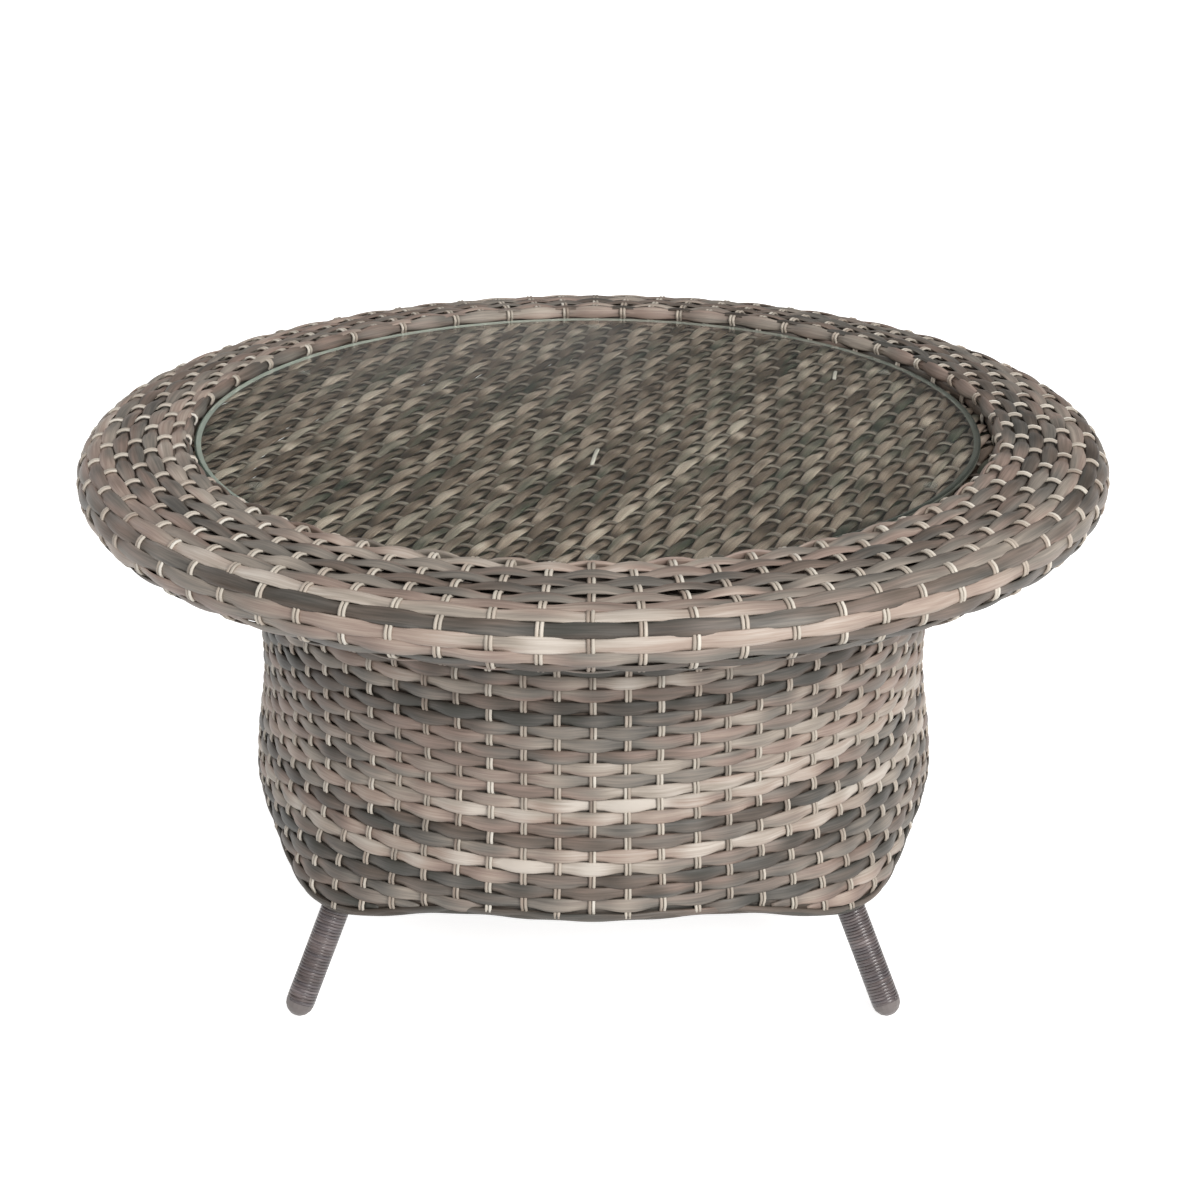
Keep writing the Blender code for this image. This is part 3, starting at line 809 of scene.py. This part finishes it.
COOL_STOPS = [
    (0.00, (0.040, 0.040, 0.032)),
    (0.15, (0.064, 0.061, 0.054)),
    (0.30, (0.110, 0.102, 0.090)),
    (0.45, (0.182, 0.166, 0.144)),
    (0.60, (0.262, 0.230, 0.196)),
    (0.75, (0.378, 0.330, 0.278)),
    (0.90, (0.500, 0.450, 0.394)),
    (1.00, (0.592, 0.545, 0.484)),
]
WARM_STOPS = [
    (0.00, (0.048, 0.038, 0.030)),
    (0.15, (0.085, 0.067, 0.053)),
    (0.30, (0.140, 0.110, 0.089)),
    (0.45, (0.212, 0.158, 0.130)),
    (0.60, (0.300, 0.226, 0.190)),
    (0.75, (0.405, 0.322, 0.268)),
    (0.90, (0.510, 0.446, 0.390)),
    (1.00, (0.604, 0.548, 0.482)),
]
DECK_COOL_STOPS = [
    (0.00, (0.028, 0.034, 0.023)),
    (0.25, (0.066, 0.072, 0.050)),
    (0.50, (0.146, 0.136, 0.104)),
    (0.75, (0.320, 0.278, 0.222)),
    (1.00, (0.590, 0.515, 0.425)),
]
DECK_WARM_STOPS = [
    (0.00, (0.044, 0.031, 0.021)),
    (0.25, (0.098, 0.070, 0.050)),
    (0.50, (0.198, 0.148, 0.112)),
    (0.75, (0.395, 0.312, 0.250)),
    (1.00, (0.650, 0.550, 0.455)),
]
WARP_STOPS = [
    (0.00, (0.180, 0.155, 0.130)),
    (0.40, (0.360, 0.320, 0.270)),
    (0.70, (0.540, 0.500, 0.430)),
    (1.00, (0.720, 0.690, 0.620)),
]
WARP_WARM_STOPS = [
    (0.00, (0.170, 0.135, 0.110)),
    (0.40, (0.340, 0.280, 0.230)),
    (0.70, (0.520, 0.460, 0.390)),
    (1.00, (0.720, 0.680, 0.600)),
]
LEG_COOL_STOPS = [
    (0.00, (0.040, 0.034, 0.036)),
    (0.30, (0.050, 0.041, 0.045)),
    (0.55, (0.100, 0.082, 0.087)),
    (0.80, (0.225, 0.190, 0.192)),
    (1.00, (0.420, 0.375, 0.360)),
]
LEG_WARM_STOPS = [
    (0.00, (0.044, 0.034, 0.032)),
    (0.30, (0.056, 0.042, 0.041)),
    (0.55, (0.110, 0.084, 0.081)),
    (0.80, (0.238, 0.192, 0.182)),
    (1.00, (0.430, 0.372, 0.340)),
]


def coated_metal(name, colour, metallic, roughness, grain):
    """Coated or plain metal, or moulded plastic at metallic 0, with a fine orange-peel grain."""
    material, tree, shader = new_material(name)
    coordinates = tree.nodes.new("ShaderNodeTexCoord")
    broad = noise(tree, coordinates.outputs["Object"], (18.0, 18.0, 18.0), 3.0)
    fine = noise(tree, coordinates.outputs["Object"], (grain, grain, grain), 2.0)
    dark = tuple(c * 0.72 for c in colour)
    light = tuple(min(1.0, c * 1.25) for c in colour)
    vary_colour(tree, shader, broad, [(0.30, dark), (0.70, light)])
    shader.inputs["Metallic"].default_value = metallic
    vary_roughness(tree, shader, fine, roughness)
    bump(tree, shader, fine, 0.2, 0.0002)
    return material


def glass_material(name, tint, roughness):
    """Clear glass that lets the lamps' light through to the deck."""
    material, tree, shader = new_material(name)
    coordinates = tree.nodes.new("ShaderNodeTexCoord")
    smear = noise(tree, coordinates.outputs["Object"], (6.0, 6.0, 6.0), 4.0)
    shader.inputs["Base Color"].default_value = (*tint, 1.0)
    shader.inputs["Transmission Weight"].default_value = 1.0
    shader.inputs["IOR"].default_value = 1.50
    vary_roughness(tree, shader, smear, roughness)
    path = tree.nodes.new("ShaderNodeLightPath")
    passing = tree.nodes.new("ShaderNodeBsdfTransparent")
    passing.inputs["Color"].default_value = (*tint, 1.0)
    mixed = tree.nodes.new("ShaderNodeMixShader")
    tree.links.new(path.outputs["Is Shadow Ray"], mixed.inputs["Fac"])
    tree.links.new(shader.outputs["BSDF"], mixed.inputs[1])
    tree.links.new(passing.outputs["BSDF"], mixed.inputs[2])
    tree.links.new(mixed.outputs["Shader"], tree.nodes["Material Output"].inputs["Surface"])
    return material


def edge_material(name, colour, shaded_colour):
    """Edge of the glass, clouded with a fine grain, with painted shade growing towards the table's right side.
    """
    material, tree, shader = new_material(name)
    coordinates = tree.nodes.new("ShaderNodeTexCoord")
    split = tree.nodes.new("ShaderNodeSeparateXYZ")
    tree.links.new(coordinates.outputs["Object"], split.inputs["Vector"])
    # Painted shade: more of the shaded colour towards the table's right side
    share = map_range(tree, split.outputs["X"], -0.25, 0.30, 0.0, 0.7)
    cloud = noise(tree, coordinates.outputs["Object"], (25.0, 25.0, 300.0), 3.0)
    blend = maths(tree, "MULTIPLY_ADD", cloud, 0.3, share)
    vary_colour(tree, shader, blend, [(0.05, colour), (0.95, shaded_colour)])
    shader.inputs["Roughness"].default_value = 0.35
    return material


def pad_material():
    """Clear soft plastic, slightly cloudy."""
    material, tree, shader = new_material("pad_clear")
    coordinates = tree.nodes.new("ShaderNodeTexCoord")
    cloud = noise(tree, coordinates.outputs["Object"], (400.0, 400.0, 400.0), 2.0)
    vary_colour(tree, shader, cloud, [(0.3, (0.30, 0.29, 0.26)), (0.7, (0.42, 0.41, 0.37))])
    shader.inputs["Roughness"].default_value = 0.55
    shader.inputs["Specular IOR Level"].default_value = 0.15
    shader.inputs["Alpha"].default_value = 0.18
    bump(tree, shader, cloud, 0.1, 0.0001)
    return material


def assign(material, *starts):
    """Give the material to every CAD node whose name starts with one of these."""
    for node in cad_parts:
        if not node.startswith(starts):
            continue
        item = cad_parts[node]
        for holder in item.material_slots:
            holder.material = material
        if not item.material_slots:
            item.data.materials.append(material)


# ---------------------------------------------------------------- glass

def make_glass(clear, edge, arris):
    """The loose disc: flat faces, a polished arris round the top in a painted dark green shade line, and a
    ground band under its outer edge, its pale green partly the glass's own tint and partly a painted glow of
    light.
    """
    low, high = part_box("glass_top")
    centre = (low + high) / 2
    radius = (high.x - low.x) / 2
    top = (high.z - low.z) / 2
    profile = [(radius - GROUND_BAND, -top), (radius - 0.0006, -top + 0.0004), (radius, -top + 0.0010),
               (radius, top - 0.0010), (radius - 0.0005, top - 0.0004), (radius - ARRIS, top)]
    angles = np.linspace(0.0, TAU, GLASS_STEPS, endpoint=False)
    shape = bmesh.new()
    rings = [[shape.verts.new((r * math.cos(t), r * math.sin(t), z)) for t in angles] for r, z in profile]
    shape.faces.new(rings[0][::-1]).material_index = 0
    shape.faces.new(rings[-1]).material_index = 0
    for level, finish in enumerate(GLASS_BANDS):
        low_ring, high_ring = rings[level], rings[level + 1]
        for step in range(GLASS_STEPS):
            after = (step + 1) % GLASS_STEPS
            face = shape.faces.new((low_ring[step], low_ring[after], high_ring[after], high_ring[step]))
            face.material_index = finish
            face.smooth = True
    mesh = bpy.data.meshes.new("glass_disc")
    shape.to_mesh(mesh)
    shape.free()
    mesh.materials.append(clear)
    mesh.materials.append(edge)
    mesh.materials.append(arris)
    disc = bpy.data.objects.new("glass_disc", mesh)
    bpy.context.scene.collection.objects.link(disc)
    disc.location = centre
    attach(disc, "glass")
    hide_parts("glass_top")


# ---------------------------------------------------------------- studio

def map_range(tree, value, low, high, to_low, to_high):
    node = tree.nodes.new("ShaderNodeMapRange")
    node.interpolation_type = "SMOOTHSTEP"
    node.inputs["From Min"].default_value = low
    node.inputs["From Max"].default_value = high
    node.inputs["To Min"].default_value = to_low
    node.inputs["To Max"].default_value = to_high
    tree.links.new(value, node.inputs["Value"])
    return node.outputs["Result"]


def make_sky():
    """A bright ceiling, a pale low wall, a dim band over it behind the table, and one soft window there."""
    world = bpy.data.worlds.new("studio")
    bpy.context.scene.world = world
    world.use_nodes = True
    tree = world.node_tree
    coordinates = tree.nodes.new("ShaderNodeTexCoord")
    split = tree.nodes.new("ShaderNodeSeparateXYZ")
    tree.links.new(coordinates.outputs["Generated"], split.inputs["Vector"])
    x, y, z = split.outputs
    ceiling = map_range(tree, z, 0.42, 0.85, 0.0, 0.62)
    horizon = map_range(tree, y, -0.80, 0.10, 0.84, 0.06)
    sideways = map_range(tree, x, -0.9, 0.9, 0.52, 1.32)
    level = maths(tree, "MULTIPLY_ADD", horizon, sideways, ceiling)
    level = maths(tree, "MAXIMUM", level, map_range(tree, z, 0.18, 0.24, 0.66, 0.0))
    left = map_range(tree, x, -0.19, -0.11, 0.0, 1.0)
    right = map_range(tree, x, -0.01, 0.05, 1.0, 0.0)
    high = map_range(tree, z, 0.255, 0.325, 0.12, 0.0)
    ahead = map_range(tree, y, 0.3, 0.5, 0.0, 1.0)
    above = map_range(tree, z, 0.0, 0.05, 0.0, 1.0)
    across = maths(tree, "MULTIPLY", left, right)
    window = maths(tree, "MULTIPLY", across, maths(tree, "MULTIPLY", high, ahead))
    window = maths(tree, "MULTIPLY", window, above)
    level = maths(tree, "ADD", level, window)
    background = tree.nodes["Background"]
    background.inputs["Color"].default_value = (1.0, 0.975, 0.960, 1.0)
    tree.links.new(level, background.inputs["Strength"])


def make_floor():
    """Pale paper that glows a little, so it stays near white, and throws no light up on the table."""
    bpy.ops.mesh.primitive_plane_add(size=40.0, location=(0.0, 0.0, 0.0))
    floor = bpy.context.object
    floor.name = "floor"
    material, tree, shader = new_material("floor_paper")
    coordinates = tree.nodes.new("ShaderNodeTexCoord")
    grain = noise(tree, coordinates.outputs["Object"], (3.0, 3.0, 3.0), 3.0)
    vary_colour(tree, shader, grain, [(0.3, (0.93, 0.93, 0.925)), (0.7, (0.95, 0.95, 0.945))])
    shader.inputs["Roughness"].default_value = 0.9
    shader.inputs["Specular IOR Level"].default_value = 0.1
    shader.inputs["Emission Color"].default_value = (1.0, 1.0, 1.0, 1.0)
    shader.inputs["Emission Strength"].default_value = 0.80
    floor.data.materials.append(material)
    floor.visible_diffuse = False


def add_light(name, place, aim, size, energy, colour=(1.0, 1.0, 1.0)):
    light = bpy.data.lights.new(name, "AREA")
    light.shape = "DISK"
    light.size = size
    light.energy = energy
    light.color = colour
    item = bpy.data.objects.new(name, light)
    item.location = place
    item.rotation_euler = (Vector(aim) - Vector(place)).to_track_quat("-Z", "Y").to_euler()
    bpy.context.scene.collection.objects.link(item)


def make_camera():
    camera_data = bpy.data.cameras.new("camera")
    camera_data.lens = CAMERA_LENS
    camera_data.sensor_width = 36.0
    camera = bpy.data.objects.new("camera", camera_data)
    camera.location = CAMERA_PLACE
    camera.rotation_euler = (math.radians(90.0 - CAMERA_DOWN), 0.0, 0.0)
    bpy.context.scene.collection.objects.link(camera)
    bpy.context.scene.camera = camera
    bpy.context.scene.view_settings.view_transform = "Standard"


def make_studio():
    make_floor()
    make_sky()
    add_light("key", (1.5, -2.6, 1.9), (0.0, 0.0, 0.20), 1.5, 63.0, (1.0, 0.975, 0.955))
    add_light("back_left", (-2.2, 1.5, 1.7), (0.0, 0.0, 0.4), 0.8, 7.0)
    make_camera()


def main():
    rim_strand = strand_material("rim_strand", COOL_STOPS, WARM_STOPS)
    body_strand = strand_material("body_strand", COOL_STOPS, WARM_STOPS)
    deck_strand = strand_material("deck_strand", DECK_COOL_STOPS, DECK_WARM_STOPS, cool_share=0.15)
    warp_cord = strand_material("warp_cord", WARP_STOPS, WARP_WARM_STOPS, streak=0.08)
    leg_strand = strand_material("leg_strand_finish", LEG_COOL_STOPS, LEG_WARM_STOPS, streak=0.36,
                                 roughness=(0.22, 0.34), specular=0.8, run=55.0)
    make_rim(rim_strand, warp_cord)
    make_body(body_strand, warp_cord)
    make_body_backing(body_strand)
    make_rim_backing(rim_strand)
    make_deck(deck_strand, warp_cord)
    make_deck_backing(deck_strand)
    make_legs(leg_strand)
    # Painted light and shade on the glass's edge: the ground band's pale green is partly the glass's own tint
    # and partly a painted glow of light caught in the glass, and the arris's dark green is a painted shade
    # line
    make_glass(glass_material("glass_clear", (0.960, 0.985, 0.970), (0.0, 0.02)),
               edge_material("glass_edge", (0.47, 0.53, 0.47), (0.20, 0.21, 0.18)),
               edge_material("glass_arris", (0.050, 0.075, 0.058), (0.030, 0.036, 0.028)))

    assign(coated_metal("tube_coating", (0.085, 0.066, 0.054), 0.25, (0.35, 0.60), 900.0),
           "top_", "ring_post", "deck_support", "base_top", "bottom_rail", "leg_tube")
    assign(coated_metal("plate_finish", (0.33, 0.32, 0.31), 0.8, (0.30, 0.50), 500.0), "mount_plate")
    assign(coated_metal("bolt_finish", (0.55, 0.55, 0.56), 1.0, (0.20, 0.40), 700.0), "mount_bolt")
    assign(coated_metal("glide_finish", (0.175, 0.155, 0.150), 0.0, (0.35, 0.55), 1200.0), "foot_glide")
    assign(pad_material(), "glass_pad")
    make_studio()


main()
